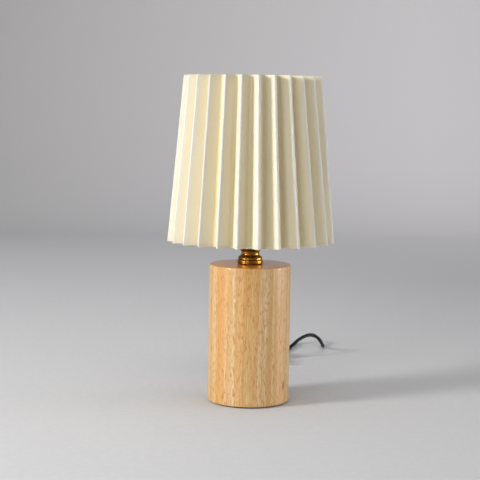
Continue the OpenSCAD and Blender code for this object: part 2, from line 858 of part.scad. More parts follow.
// Band round the coil's turns, on the side nearest the base
module coil_tie() {
    band_t = 0.6;
    inner_r = coil_outer_r - coil_pitch * coil_turns / 2 - cord_r - loose;
    outer_r = coil_outer_r + cord_r + loose - 0.4;
    inside = [outer_r - inner_r, coil_pitch + cord_d + 2 * tie_play];
    color("black")
        translate([coil_centre.x, coil_centre.y - (inner_r + outer_r) / 2, coil_z + coil_pitch / 2])
            rotate([90, 0, 90])
                linear_extrude(tie_w, center = true)
                    difference() {
                        rounded_rectangle(inside + 2 * band_t * [1, 1], 2.4 + band_t);
                        rounded_rectangle(inside, 2.4);
                    }
}
tie_w = 6;
tie_play = 0.25;

// Outer block of the switch between two heights, with a softer edge at one of them
module switch_block(low, high, soft) {
    edge = 1.5;
    bottom = soft == "low" ? edge : 0;
    top = soft == "high" ? edge : 0;
    hull()
        for (slab = [[low, bottom], [low + edge, 0], [high - edge - 0.1, 0], [high - 0.1, top]])
            translate([0, 0, slab[0]])
                linear_extrude(0.1)
                    rounded_rectangle([switch_l - 2 * slab[1], switch_w - 2 * slab[1]], 8 - slab[1], $fn = 32);
}

// Half of the cord's socket at both ends
module switch_sockets() {
    for (side = [-1, 1])
        translate([side * (switch_l / 2 - socket_l), 0, switch_split])
            rotate([0, side * 90, 0])
                cylinder(r = cord_r + seated, h = socket_l + overshoot);
}

switch_split = 8.5;
switch_wall = 1.8;
rocker_l = 19;
rocker_w = 11;
rocker_tilt = 9;
pivot_r = 1.5;
pivot_z = switch_h - 3.2;
pivot_cheek = 1.6;
boss_x = switch_l / 2 - 8;
boss_y = switch_w / 2 - 5;
screw_r = 1.3;

module switch_cavity(low, high) {
    translate([0, 0, low])
        linear_extrude(high - low)
            difference() {
                rounded_rectangle([switch_l - 2 * socket_l - 2, switch_w - 2 * switch_wall], 5);
                for (x = [-1, 1])
                    translate([x * boss_x, x * boss_y])
                        circle(3);
            }
}

module switch_lower_shell() {
    color("black")
        translate([switch_centre.x, switch_centre.y, 0])
            difference() {
                switch_block(0, switch_split, "low");
                switch_cavity(switch_wall, switch_split + overshoot);
                switch_sockets();
                for (x = [-1, 1])
                    translate([x * boss_x, x * boss_y, -overshoot]) {
                        cylinder(r = screw_r + seated, h = switch_split + 2 * overshoot);
                        cylinder(r = 2.4 + seated, h = overshoot + 2.5);
                    }
            }
}

module switch_upper_shell() {
    color("black")
        translate([switch_centre.x, switch_centre.y, 0])
            difference() {
                union() {
                    difference() {
                        switch_block(switch_split, switch_h, "high");
                        switch_cavity(switch_split - overshoot, switch_h - switch_wall);
                    }
                    for (side = [-1, 1])
                        translate([-2.6, side * (rocker_w / 2 + loose + pivot_cheek / 2) - pivot_cheek / 2, switch_split + 1])
                            cube([5.2, pivot_cheek, switch_h - switch_wall - switch_split]);
                }
                translate([-rocker_l / 2 - loose, -rocker_w / 2 - loose, switch_split])
                    cube([rocker_l + 2 * loose, rocker_w + 2 * loose, switch_h]);
                translate([0, 0, pivot_z])
                    rotate([90, 0, 0])
                        cylinder(r = pivot_r + running, h = rocker_w + 2 * loose + 2 * pivot_cheek - 0.4, center = true);
                switch_sockets();
                for (x = [-1, 1])
                    translate([x * boss_x, x * boss_y, switch_split - overshoot])
                        cylinder(r = screw_r + seated, h = 5.5 + overshoot);
            }
}

// Rocker, pressed down at its near end, with two pivot stubs
module switch_rocker() {
    half = rocker_l / 2;
    lift = half * sin(rocker_tilt);
    color("dimgray")
        translate([switch_centre.x, switch_centre.y, pivot_z])
            rotate([0, rocker_tilt, 0])
                union() {
                    rotate([90, 0, 0])
                        linear_extrude(rocker_w, center = true)
                            polygon([
                                [-half + 0.8, 3.2 + lift], [-half + 0.4, 1], [-half + 2, -1.2], [-3, -2.6],
                                [3, -2.6], [half - 2, -1.2], [half - 0.4, 1], [half - 0.8, 3.2 + lift],
                                [half / 2, 3.2 + lift / 2.4], [0, 3.4], [-half / 2, 3.2 + lift / 2.4]
                            ]);
                    rotate([90, 0, 0])
                        cylinder(r = pivot_r, h = rocker_w + 2 * loose + 2 * pivot_cheek - 1, center = true);
                }
}

// Two fixed brass contacts on the floor of the lower shell
module switch_contacts() {
    color("gold")
        translate([switch_centre.x, switch_centre.y, switch_wall])
            for (side = [-1, 1])
                translate([side * 9, 0, 0])
                    rotate([90, 0, 0])
                        linear_extrude(5, center = true)
                            polygon([
                                [-4, 0], [4, 0], [4, 4.5], [3.4, 4.5], [3.4, 0.6], [-3.4, 0.6],
                                [-3.4, 3], [-4, 3]
                            ]);
}

module switch_screws() {
    color("silver")
        translate([switch_centre.x, switch_centre.y, 0])
            for (x = [-1, 1])
                translate([x * boss_x, x * boss_y, 0.9])
                    difference() {
                        union() {
                            cylinder(r = screw_r, h = switch_split + 4);
                            cylinder(r = 2.4, h = 1.6);
                        }
                        cube([3.2, 0.7, 1.4], center = true);
                        cube([0.7, 3.2, 1.4], center = true);
                    }
}

relief_l = 16;
relief_root_r = 4.6;
relief_tip_r = cord_r + 1.1;
sleeve_r = 1.7;
sleeve_l = 10;
shank_r = 1.2;
pin_r = 2;
pin_l = 9;
pin_root = 6;

// Plug body with a ribbed strain relief and the sleeves round its pins
module plug_body() {
    ribs = 4;
    rib_step = (relief_l - 3) / ribs;
    waist_w = 2 * relief_root_r + 3;
    color("black")
        difference() {
            translate(plug_face) {
                translate([relief_l, 0, 0])
                    intersection() {
                        linear_extrude(plug_t, center = true)
                            polygon(concat(
                                [[0, -waist_w / 2]],
                                arc([plug_l - 3, -plug_w / 2 + 3], 3, 270, 360, 6),
                                arc([plug_l - 3, plug_w / 2 - 3], 3, 0, 90, 6),
                                [[plug_l * 0.45, plug_w / 2], [plug_l * 0.2, plug_w * 0.36], [0, waist_w / 2]]
                            ));
                        plug_side();
                        plug_outline();
                    }
                for (side = [-1, 1])
                    translate([relief_l + plug_l, side * pin_gap / 2, 0])
                        rotate([0, 90, 0])
                            cylinder(r = sleeve_r, h = sleeve_l);
                rotate([0, 90, 0])
                    rotate_extrude()
                        polygon(concat(
                            [[0, 0], [relief_tip_r, 0]],
                            [
                                for (i = [0:ribs - 1])
                                    let (x = 1.5 + i * rib_step, r = mix(relief_tip_r, relief_root_r, i / ribs))
                                    each [[r, x], [r, x + rib_step - 1.2], [r - 0.7, x + rib_step - 0.9], [r - 0.7, x + rib_step - 0.2]]
                            ],
                            [[relief_root_r, relief_l - 1], [relief_root_r, relief_l + 1], [0, relief_l + 1]]
                        ));
            }
            translate(plug_face - [overshoot, 0, 0])
                rotate([0, 90, 0])
                    cylinder(r = cord_r + seated, h = socket_l + overshoot);
            for (side = [-1, 1])
                translate(plug_face + [relief_l + plug_l - pin_root, side * pin_gap / 2, 0])
                    rotate([0, 90, 0])
                        cylinder(r = shank_r + seated, h = pin_root + sleeve_l + overshoot);
        }
}

// Outline of the plug from above: narrow at the cord, wide at the pins
module plug_outline() {
    waist = relief_root_r + 1.5;
    wide = plug_w / 2;
    linear_extrude(2 * plug_t, center = true)
        polygon(concat(
            [[0, -waist], [plug_l * 0.2, -waist - 1]],
            [[plug_l * 0.62, -wide], [plug_l - 2, -wide], [plug_l, -wide + 2]],
            [[plug_l, wide - 2], [plug_l - 2, wide], [plug_l * 0.62, wide]],
            [[plug_l * 0.2, waist + 1], [0, waist]]
        ));
}

// The plug from the side: rounded at the cord's end, flat above and below
module plug_side() {
    half = plug_t / 2;
    rotate([90, 0, 0])
        linear_extrude(2 * plug_w, center = true)
            polygon([
                [0, -relief_root_r], [plug_l * 0.25, -half + 0.6], [plug_l * 0.4, -half], [plug_l - 1.5, -half],
                [plug_l, -half + 1.5], [plug_l, half - 1.5], [plug_l - 1.5, half], [plug_l * 0.4, half],
                [plug_l * 0.25, half - 0.6], [0, relief_root_r]
            ]);
}

// Two pins: a shank in the sleeve and a thicker rounded tip
module plug_pins() {
    color("silver")
        for (side = [-1, 1])
            translate(plug_face + [relief_l + plug_l, side * pin_gap / 2, 0])
                rotate([0, 90, 0])
                    rotate_extrude()
                        polygon(concat(
                            [[0, -pin_root], [shank_r, -pin_root], [shank_r, sleeve_l], [pin_r, sleeve_l]],
                            arc([0.8, sleeve_l + pin_l - 1.2], 1.2, 0, 90, 6),
                            [[0, sleeve_l + pin_l]]
                        ));
}

base_pad();
wood_base();
threaded_tube();
bottom_washer();
bottom_nut();
brass_neck();
holder_cap();
porcelain_core();
screw_shell();
centre_contact();
terminal_screws();
holder_sleeve();
shade_ring_nut();
bulb_globe();
bulb_cap();
bulb_insulator();
bulb_contact();
shade_cloth();
top_ring();
bottom_ring();
shade_fitter();
fitter_arm(0);  // fitter_arm_1
fitter_arm(1);  // fitter_arm_2
fitter_arm(2);  // fitter_arm_3
shade_strut(0);  // shade_strut_1
shade_strut(1);  // shade_strut_2
shade_strut(2);  // shade_strut_3
shade_strut(3);  // shade_strut_4
shade_strut(4);  // shade_strut_5
strain_relief();
inner_cord();
live_wire();
neutral_wire();
cord_to_switch();
switch_lower_shell();
switch_upper_shell();
switch_rocker();
switch_contacts();
switch_screws();
cord_from_switch();
cord_coil();
coil_tie();
cord_to_plug();
plug_body();
plug_pins();
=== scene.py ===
import bpy
import bmesh
from math import acos, atan2, ceil, cos, exp, hypot, pi, radians, sin
from mathutils import Matrix, Vector, noise


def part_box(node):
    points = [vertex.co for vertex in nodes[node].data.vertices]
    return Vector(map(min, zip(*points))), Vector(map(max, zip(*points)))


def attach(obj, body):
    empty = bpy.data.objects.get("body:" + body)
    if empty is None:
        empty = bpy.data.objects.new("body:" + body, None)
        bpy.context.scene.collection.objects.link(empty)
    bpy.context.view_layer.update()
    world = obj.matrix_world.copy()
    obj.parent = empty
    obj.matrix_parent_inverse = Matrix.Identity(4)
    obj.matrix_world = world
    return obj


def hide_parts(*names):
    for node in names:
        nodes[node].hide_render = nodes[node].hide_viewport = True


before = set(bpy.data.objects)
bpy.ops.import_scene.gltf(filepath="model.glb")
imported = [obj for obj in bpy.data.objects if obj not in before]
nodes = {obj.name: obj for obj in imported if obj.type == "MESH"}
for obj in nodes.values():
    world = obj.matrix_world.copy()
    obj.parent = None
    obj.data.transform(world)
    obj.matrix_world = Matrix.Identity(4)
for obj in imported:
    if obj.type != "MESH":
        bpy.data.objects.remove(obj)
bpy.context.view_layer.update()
scene = bpy.context.scene
MM = 0.001


# Camera: the photograph's, fitted to the lamp's outline, with its angles in degrees

SENSOR_MM = 36
PHOTO_PX = 480
FOCAL_PX = 1327
CAMERA_PLACE = (-0.0113, -1.420, 0.320)
CAMERA_DOWN = 5.83
CAMERA_ROLL = 0.89

camera_data = bpy.data.cameras.new("camera")
camera_data.sensor_width = SENSOR_MM
camera_data.lens = FOCAL_PX / PHOTO_PX * SENSOR_MM
camera_data.clip_start = 0.05
camera_data.clip_end = 30
camera = bpy.data.objects.new("camera", camera_data)
scene.collection.objects.link(camera)
camera.matrix_world = (
    Matrix.Translation(CAMERA_PLACE)
    @ Matrix.Rotation(radians(90 - CAMERA_DOWN), 4, "X")
    @ Matrix.Rotation(radians(CAMERA_ROLL), 4, "Z")
)
scene.camera = camera


# Helpers for meshes and curves

def mix(a, b, k):
    return a + (b - a) * k


def add_object(name, data, body):
    """A new object in the scene, which rides on a body of the lamp if one is named."""
    obj = bpy.data.objects.new(name, data)
    scene.collection.objects.link(obj)
    if body:
        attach(obj, body)
    return obj


def mesh_object(name, verts, faces, body):
    """A new object with a smooth mesh."""
    mesh = bpy.data.meshes.new(name)
    mesh.from_pydata([Vector(v) for v in verts], [], faces)
    mesh.validate()
    mesh.shade_smooth()
    return add_object(name, mesh, body)


def smooth_by_angle(mesh, limit):
    """Shades a mesh smooth, with its edges sharper than the limit kept hard."""
    mesh.shade_smooth()
    bm = bmesh.new()
    bm.from_mesh(mesh)
    for edge in bm.edges:
        if len(edge.link_faces) != 2 or edge.calc_face_angle(0) > limit:
            edge.smooth = False
    bm.to_mesh(mesh)
    bm.free()


def catmull_rom(points, step):
    """Points every step or so on a smooth curve through the given ones."""
    pts = [points[0] * 2 - points[1], *points, points[-1] * 2 - points[-2]]
    out = []
    for i in range(1, len(pts) - 2):
        a, b, c, d = pts[i - 1:i + 3]
        ta = (b - a).length ** 0.5
        tb = ta + (c - b).length ** 0.5
        tc = tb + (d - c).length ** 0.5
        n = max(1, ceil((c - b).length / step))
        for k in range(n):
            t = ta + (tb - ta) * k / n
            a1 = a.lerp(b, t / ta)
            a2 = b.lerp(c, (t - ta) / (tb - ta))
            a3 = c.lerp(d, (t - tb) / (tc - tb))
            b1 = a1.lerp(a2, t / tb)
            b2 = a2.lerp(a3, (t - ta) / (tc - ta))
            out.append(b1.lerp(b2, (t - ta) / (tb - ta)))
    out.append(points[-1].copy())
    return out


# Cords, as points in millimetres along their middle lines

CORD_D = 4.2
CORD_STEP = 1.5
TO_SWITCH = [
    (0, 66, 11), (0, 72, 11), (0, 79, 10.8), (-1.2, 86, 10), (-4.6, 93.5, 8.5), (-10.5, 101, 6.5),
    (-18.5, 107.5, 4.6), (-27, 113.5, 3.2), (-34.5, 120.5, 2.5), (-40.2, 129.5, 2.2),
    (-43.6, 140.5, 2.2), (-44.5, 153, 2.2), (-44.5, 166, 2.2), (-44.5, 179, 2.2),
    (-44.5, 191, 2.3), (-44.5, 202, 2.7), (-44.5, 212, 3.4), (-44.5, 220, 4.2),
    (-43, 227.7, 5.3), (-38.6, 234.1, 6.6), (-32.2, 238.5, 7.8), (-24.5, 240, 8.5), (-16, 240, 8.5),
]
FROM_SWITCH = [
    (34, 240, 8.5), (39.5, 240, 8.5), (44, 240.4, 9), (48, 241.3, 10.5), (53, 243.2, 13.1), (58, 245.8, 17),
    (64, 250, 21.6), (71, 256, 25.1), (78, 263, 26.8), (84.5, 270, 25.9), (90.5, 278.5, 21.5),
    (95.5, 288, 14.6), (98.3, 297.6, 9.4), (100.2, 306.9, 6), (100.9, 316.7, 3.2),
    (100.8, 327.5, 2.3), (99.8, 337.4, 4.7), (95.4, 345.8, 9), (86.5, 350.7, 11.4),
    (76.7, 351.8, 9.1), (68.5, 347.4, 4.5), (63.9, 338.6, 2.2), (62.2, 328.4, 2.8),
    (60.5, 318, 3.4), (57.7, 307.8, 3), (54.5, 297.4, 2.4), (52.1, 287.7, 2.3),
    (50.2, 277.1, 2.2), (49.1, 266.8, 2.2), (48.3, 255.3, 2.2),
    (47.8, 246, 2.2), (47, 232, 2.2), (46, 218, 2.2), (44.2, 205, 2.2), (41.2, 193, 2.2),
    (37.2, 182, 2.3), (33, 172, 2.5), (29.2, 164.5, 2.8), (28, 158.6, 3), (28, 154.2, 3),
]
TO_PLUG = [
    (-36, 154.2, 7.7), (-36, 165, 7.7), (-36, 176, 7.6), (-35.8, 187, 7.5),
    (-33.2, 195, 7.4), (-27.6, 201.2, 7.3), (-19.5, 204, 7.2), (-15, 204, 7.2),
]
COIL_R, COIL_PITCH, COIL_TURNS = 32, 4.7, 6.5
COIL_X, COIL_Y, COIL_Z = -4, 150, 3
CLIMB_TURNS = 0.5
POINTS_A_TURN = 48


def coil_point(t):
    """The coil's point after t turns: spiralling in, a climb to the second layer, spiralling out."""
    r = COIL_R - COIL_PITCH * min(t, COIL_TURNS - t)
    climbed = (t - COIL_TURNS / 2 + CLIMB_TURNS / 2) / CLIMB_TURNS
    a = 2 * pi * t
    return COIL_X + r * cos(a), COIL_Y - r * sin(a), COIL_Z + COIL_PITCH * min(1, max(0, climbed))


coil = [coil_point(i / POINTS_A_TURN) for i in range(int(COIL_TURNS * POINTS_A_TURN) + 1)]


def cord_object(name, points_mm):
    """A round cord along the points, and its length."""
    points = catmull_rom([Vector(p) * MM for p in points_mm], CORD_STEP * MM)
    curve = bpy.data.curves.new(name, "CURVE")
    curve.dimensions = "3D"
    curve.bevel_depth = 1.0
    curve.bevel_resolution = 4
    curve.use_fill_caps = True
    spline = curve.splines.new("POLY")
    spline.points.add(len(points) - 1)
    for point, place in zip(spline.points, points):
        point.co = (*place, 1)
        point.radius = CORD_D / 2 * MM
    spline.use_smooth = True
    return add_object(name, curve, "lamp"), sum((b - a).length for a, b in zip(points, points[1:]))


first_cord, first_length = cord_object("cord_first_stretch", TO_SWITCH)
second_cord, second_length = cord_object("cord_second_stretch", FROM_SWITCH + coil + TO_PLUG)
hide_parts("cord_to_switch")
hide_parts("cord_from_switch", "cord_coil", "cord_to_plug")


# Pleated cloth, in millimetres; k is 0 at the shade's lower edge and 1 at its upper one

PLEATS = 25
STEP = 2 * pi / PLEATS
HALF_STEP = STEP / 2
# The first ridge stands a little to the right of the front.
FIRST_RIDGE = radians(6.2)
CLOTH_T = 0.8
RIDGE_R = 0.8
VALLEY_R = 3.0
PLEAT_DEPTH = 15.0
SHADE_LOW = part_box("shade_cloth")[0][2] / MM
SHADE_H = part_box("shade_cloth")[1][2] / MM - SHADE_LOW
BOTTOM_R = 90.0
TOP_R = 74.0
HEM_H = 2.8
RIDGE_STEPS, FACE_STEPS, VALLEY_STEPS = 3, 4, 6
CLOTH_ROWS = 34
# The pleats lean a little to one side, most of all round one pleat, and all of them wobble.
# A lean is (degrees, the pleat in its middle, the pleats it reaches over), at the lower and the upper edge.
LEAN_LOW = (2.0, 1.2, 2.3)
LEAN_HIGH = (5.3, 3.2, 3.3)
# The wobble is a wave over the pleats: its size in degrees and its step from pleat to pleat in radians.
WOBBLE = 0.2
WOBBLE_STEP = 2.4
# How far a whole pleat sways and a pleat's face bows, in or out.
SWAY = 0.12
BOW = 0.22


def ridge_centre(k):
    """How far the centre of a ridge's rounding is from the shade's axis."""
    return mix(BOTTOM_R, TOP_R, k) - CLOTH_T / 2 - RIDGE_R


LOW_RIDGE = Vector((ridge_centre(0), 0))
LOW_VALLEY = (LOW_RIDGE.x + RIDGE_R - PLEAT_DEPTH + VALLEY_R) * Vector((cos(HALF_STEP), sin(HALF_STEP)))
LOW_SPAN = LOW_VALLEY - LOW_RIDGE
FACE_TURN = atan2(LOW_SPAN.y, LOW_SPAN.x) - acos((RIDGE_R + VALLEY_R) / LOW_SPAN.length)


def valley_centre(k):
    """How far the centre of a valley's rounding is from the shade's axis, with pleat faces of the same turn."""
    return (ridge_centre(k) * cos(FACE_TURN) + RIDGE_R + VALLEY_R) / cos(FACE_TURN - HALF_STEP)


def half_section(k, inward):
    """(point, bow weight) of a layer of the cloth, from a ridge at angle 0 to the next valley."""
    ridge_r = max(0.1, RIDGE_R - inward)
    ridge = Vector((ridge_centre(k) + (RIDGE_R - inward - ridge_r) / cos(FACE_TURN), 0))
    c = valley_centre(k)
    valley = Vector((c * cos(HALF_STEP), c * sin(HALF_STEP)))
    valley_r = VALLEY_R + inward
    n = Vector((cos(FACE_TURN), sin(FACE_TURN)))
    pts = []
    for i in range(RIDGE_STEPS):
        t = FACE_TURN * i / RIDGE_STEPS
        pts.append((ridge + ridge_r * Vector((cos(t), sin(t))), 0.0))
    start = ridge + ridge_r * n
    end = valley - valley_r * n
    for i in range(FACE_STEPS + 1):
        q = i / FACE_STEPS
        pts.append((start.lerp(end, q), sin(pi * q)))
    for i in range(1, VALLEY_STEPS + 1):
        t = mix(FACE_TURN + pi, HALF_STEP + pi, i / VALLEY_STEPS)
        pts.append((valley + valley_r * Vector((cos(t), sin(t))), 0.0))
    return pts


def section(k, inward=0.0):
    """One whole pleat from valley to valley, as (x, y, bow weight, arc length)."""
    half = half_section(k, inward)
    pts = [(Vector((p.x, -p.y)), bow) for p, bow in reversed(half[1:])] + half
    out = []
    run = 0.0
    for i, (p, bow) in enumerate(pts):
        if i:
            run += (p - pts[i - 1][0]).length
        out.append((p.x, p.y, bow, run))
    return out


def lean(i, size, middle, reach):
    """How many degrees ridge i stands off its regular place at one edge of the shade."""
    away = (i - middle + PLEATS / 2) % PLEATS - PLEATS / 2
    return -WOBBLE * sin(WOBBLE_STEP * (i % PLEATS)) - size * exp(-(away / reach) ** 2)


def uneven_angle(a, k):
    """The angle at k of a point that regular folding would put at angle a."""
    pos = (a - FIRST_RIDGE) / STEP
    i = int(pos // 1)
    q = pos - i
    q = q * q * (3 - 2 * q)
    here, after = (mix(lean(j, *LEAN_LOW), lean(j, *LEAN_HIGH), k) for j in (i, i + 1))
    return a + radians(mix(here, after, q))


def cloth_levels():
    """(height, inward offset) of the cloth's rows: a turned-in hem, the outside with its crease, a second hem."""
    fold = [(HEM_H - 0.3, 1.0), (0.9, 1.0), (0.53, 0.86), (0.4, 0.5), (0.53, 0.14), (0.9, 0.0)]
    crease = [(HEM_H - 0.35, 0.0), (HEM_H, 0.14), (HEM_H + 0.35, 0.0)]
    low = [(SHADE_LOW + z, d) for z, d in fold + crease]
    high = [(SHADE_LOW + SHADE_H - z, d) for z, d in reversed(fold + crease)]
    start, end = HEM_H + 1.5, SHADE_H - HEM_H - 1.5
    rows = [(SHADE_LOW + mix(start, end, r / CLOTH_ROWS), 0.0) for r in range(CLOTH_ROWS + 1)]
    return low + rows + high


def build_cloth(name, levels):
    """The pleated cloth with its hems, from its middle surface, and its flat place in metres as UV."""
    verts = []
    uv = []
    v = 0.0
    pleat_w = section(0)[-1][3]
    for step, (z, inward) in enumerate(levels):
        if step:
            v += hypot(z - levels[step - 1][0], inward - levels[step - 1][1]) * MM
        k = (z - SHADE_LOW) / SHADE_H
        sec = section(k, inward)
        for i in range(PLEATS):
            turn = FIRST_RIDGE + i * STEP
            sway = SWAY * noise.noise(Vector((i * 7.31, 3.7, z * 0.012)))
            for x, y, bow, run in sec[:-1]:
                side = 1 if y > 0 else -1
                bend = BOW * noise.noise(Vector((i * 5.1 + side, z * 0.02, 9.2))) * bow
                r = hypot(x, y) + sway + bend
                a = uneven_angle(turn + atan2(y, x), k)
                verts.append((r * sin(a) * MM, -r * cos(a) * MM, z * MM))
                uv.append((pleat_w * (i + run / sec[-1][3]) * MM, v))
    n = len(verts) // len(levels)
    faces = []
    for r in range(0, len(verts) - n, n):
        for i in range(n):
            j = (i + 1) % n
            faces.append((r + i, r + j, r + n + j, r + n + i))
    obj = mesh_object(name, verts, faces, "shade")
    layer = obj.data.uv_layers.new(name="cloth")
    for loop in obj.data.loops:
        layer.data[loop.index].uv = uv[loop.vertex_index]
    solid = obj.modifiers.new("thickness", "SOLIDIFY")
    solid.thickness = CLOTH_T * MM
    solid.offset = 0
    return obj


cloth = build_cloth("pleated_cloth", cloth_levels())
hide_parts("shade_cloth")


# Materials, with sizes in metres and colours as linear red, green and blue

CLOTH_TONES = [(0.32, (0.70, 0.68, 0.61)), (0.5, (0.75, 0.745, 0.72)), (0.68, (0.77, 0.767, 0.755))]
CLOTH_CLOUD = (0.745, 0.725, 0.65)
# Painted bounce light: a warm yellow laid on the cloth away from its ridges.
CLOTH_PAINTED_BOUNCE = (0.98, 0.83, 0.44)
# Painted shade: a darker yellow for the deep valleys of the pleats.
CLOTH_VALLEY_PAINTED_SHADE = (0.74, 0.60, 0.22)
# Painted shade: a darker line along the lower hem's crease.
CLOTH_CREASE_PAINTED_SHADE = (0.62, 0.53, 0.38)
CLOTH_THROUGH = (0.94, 0.84, 0.56)
LINING_TONES = [(0.3, (0.86, 0.83, 0.75)), (0.7, (0.92, 0.90, 0.84))]
LINING_THROUGH = (0.95, 0.84, 0.55)
LIGHT_THROUGH = 0.26
WOOD_TONES = [(0.37, (0.424, 0.218, 0.054)), (0.46, (0.522, 0.319, 0.110)),
              (0.54, (0.588, 0.422, 0.215)), (0.65, (0.64, 0.515, 0.35))]
WOOD_END_TONES = [(0.35, (0.53, 0.19, 0.022)), (0.65, (0.69, 0.30, 0.048))]
WOOD_FIBRE = (0.45, 0.225, 0.045)
WOOD_DASH = (0.42, 0.175, 0.030)
WOOD_PORE = (0.36, 0.145, 0.025)
WOOD_RED = (0.60, 0.285, 0.09)
# Redder layers of the wood, which run through the block from front to back: place across, reach, strength
RED_LAYERS = [(-0.0300, 0.0070, 0.6), (-0.0100, 0.0035, 0.45), (0.0070, 0.0040, 0.4), (0.0330, 0.0050, 0.35)]
KNOT = (0.31, 0.065, 0.004)
KNOT_PLACE = (0.0372, 0.0215)
KNOT_SIZE = (0.0016, 0.0052)
NECK_BRASS = (0.39, 0.178, 0.027)
NECK_PATINA = (0.12, 0.036, 0.004)
# Painted shade and painted reflection: a near-black for the neck's upper rim under the shade.
NECK_RIM_PAINTED_SHADE = (0.03, 0.015, 0.008)
# Painted shade: a dark brown for the neck's grooves.
NECK_GROOVE_PAINTED_SHADE = (0.07, 0.03, 0.01)
NECK_H = 0.0165
NECK_GROOVE_PLACES = (0.0053, 0.0085)


class Shader:
    """A principled material with short calls for its nodes."""

    def __init__(self, name, color, roughness, metallic=0.0):
        self.material = bpy.data.materials.new(name)
        self.material.use_nodes = True
        self.tree = self.material.node_tree
        self.bsdf = self.tree.nodes["Principled BSDF"]
        self.output = self.tree.nodes["Material Output"]
        self.set("Base Color", (*color, 1)).set("Roughness", roughness).set("Metallic", metallic)
        self.coords = self.tree.nodes.new("ShaderNodeTexCoord")

    def set(self, name, value):
        self.bsdf.inputs[name].default_value = value
        return self

    def link(self, out, socket):
        self.tree.links.new(out, socket)

    def drive(self, name, out):
        """Links an output to an input of the principled shader."""
        self.link(out, self.bsdf.inputs[name])

    def scaled(self, scale, kind="Object", offset=(0, 0, 0)):
        """Coordinates multiplied by the scale, one number for all axes or three."""
        node = self.tree.nodes.new("ShaderNodeMapping")
        node.inputs["Scale"].default_value = scale if isinstance(scale, tuple) else (scale,) * 3
        node.inputs["Location"].default_value = offset
        self.link(self.coords.outputs[kind], node.inputs["Vector"])
        return node.outputs["Vector"]

    def place(self):
        """The X, Y and Z of the shaded point."""
        node = self.tree.nodes.new("ShaderNodeSeparateXYZ")
        self.link(self.coords.outputs["Object"], node.inputs["Vector"])
        return [node.outputs[axis] for axis in "XYZ"]

    def noise(self, vector, detail=3.0, rough=0.5, distortion=0.0):
        node = self.tree.nodes.new("ShaderNodeTexNoise")
        node.inputs["Scale"].default_value = 1.0
        node.inputs["Detail"].default_value = detail
        node.inputs["Roughness"].default_value = rough
        node.inputs["Distortion"].default_value = distortion
        self.link(vector, node.inputs["Vector"])
        return node.outputs["Fac"]

    def ramp(self, fac, stops):
        """A colour from stops of (place, colour)."""
        node = self.tree.nodes.new("ShaderNodeValToRGB")
        ramp = node.color_ramp
        while len(ramp.elements) < len(stops):
            ramp.elements.new(0.5)
        for element, (at, color) in zip(ramp.elements, stops):
            element.position = at
            element.color = (*color, 1)
        self.link(fac, node.inputs["Fac"])
        return node.outputs["Color"]

    def range(self, value, a, b, c, d):
        """The value moved from the range a to b into the range c to d, and held there."""
        node = self.tree.nodes.new("ShaderNodeMapRange")
        for name, v in (("From Min", a), ("From Max", b), ("To Min", c), ("To Max", d)):
            node.inputs[name].default_value = v
        self.link(value, node.inputs["Value"])
        return node.outputs["Result"]

    def math(self, operation, *values):
        node = self.tree.nodes.new("ShaderNodeMath")
        node.operation = operation
        for socket, v in zip(node.inputs, values):
            if isinstance(v, (int, float)):
                socket.default_value = v
            else:
                self.link(v, socket)
        return node.outputs["Value"]

    def blend(self, a, share_a, b, share_b):
        """The sum of two outputs, each with its share."""
        return self.math("ADD", self.math("MULTIPLY", a, share_a), self.math("MULTIPLY", b, share_b))

    def away(self, value, place):
        """How far a value is from a place."""
        return self.math("ABSOLUTE", self.math("SUBTRACT", value, place))

    def length(self, a, b):
        """The distance that two outputs at right angles make."""
        return self.math("SQRT", self.math("ADD", self.math("MULTIPLY", a, a), self.math("MULTIPLY", b, b)))

    def mix(self, fac, a, b):
        """Colour a mixed with colour b by a factor; each is a value or an output."""
        node = self.tree.nodes.new("ShaderNodeMix")
        node.data_type = "RGBA"
        for name, v in (("Factor_Float", fac), ("A_Color", a), ("B_Color", b)):
            socket = next(s for s in node.inputs if s.identifier == name)
            if isinstance(v, (int, float)):
                socket.default_value = v
            elif isinstance(v, tuple):
                socket.default_value = (*v, 1)
            else:
                self.link(v, socket)
        return next(s for s in node.outputs if s.identifier == "Result_Color")

    def bump(self, height, strength, distance):
        node = self.tree.nodes.new("ShaderNodeBump")
        node.inputs["Strength"].default_value = strength
        node.inputs["Distance"].default_value = distance
        self.link(height, node.inputs["Height"])
        self.drive("Normal", node.outputs["Normal"])

    def let_light_through(self, color):
        """Lets a share of the light through a thin material, in the given colour."""
        through = self.tree.nodes.new("ShaderNodeBsdfTranslucent")
        self.link(color, through.inputs["Color"])
        blend = self.tree.nodes.new("ShaderNodeMixShader")
        blend.inputs["Fac"].default_value = LIGHT_THROUGH
        self.link(self.bsdf.outputs["BSDF"], blend.inputs[1])
        self.link(through.outputs["BSDF"], blend.inputs[2])
        self.link(blend.outputs["Shader"], self.output.inputs["Surface"])


def lining_material():
    s = Shader("shade_lining", (0.88, 0.86, 0.80), 0.7)
    fibres = s.noise(s.scaled(260), rough=0.6)
    color = s.ramp(fibres, LINING_TONES)
    s.drive("Base Color", color)
    s.bump(fibres, 0.1, 0.0002)
    s.let_light_through(s.mix(0.5, color, LINING_THROUGH))
    return s.material


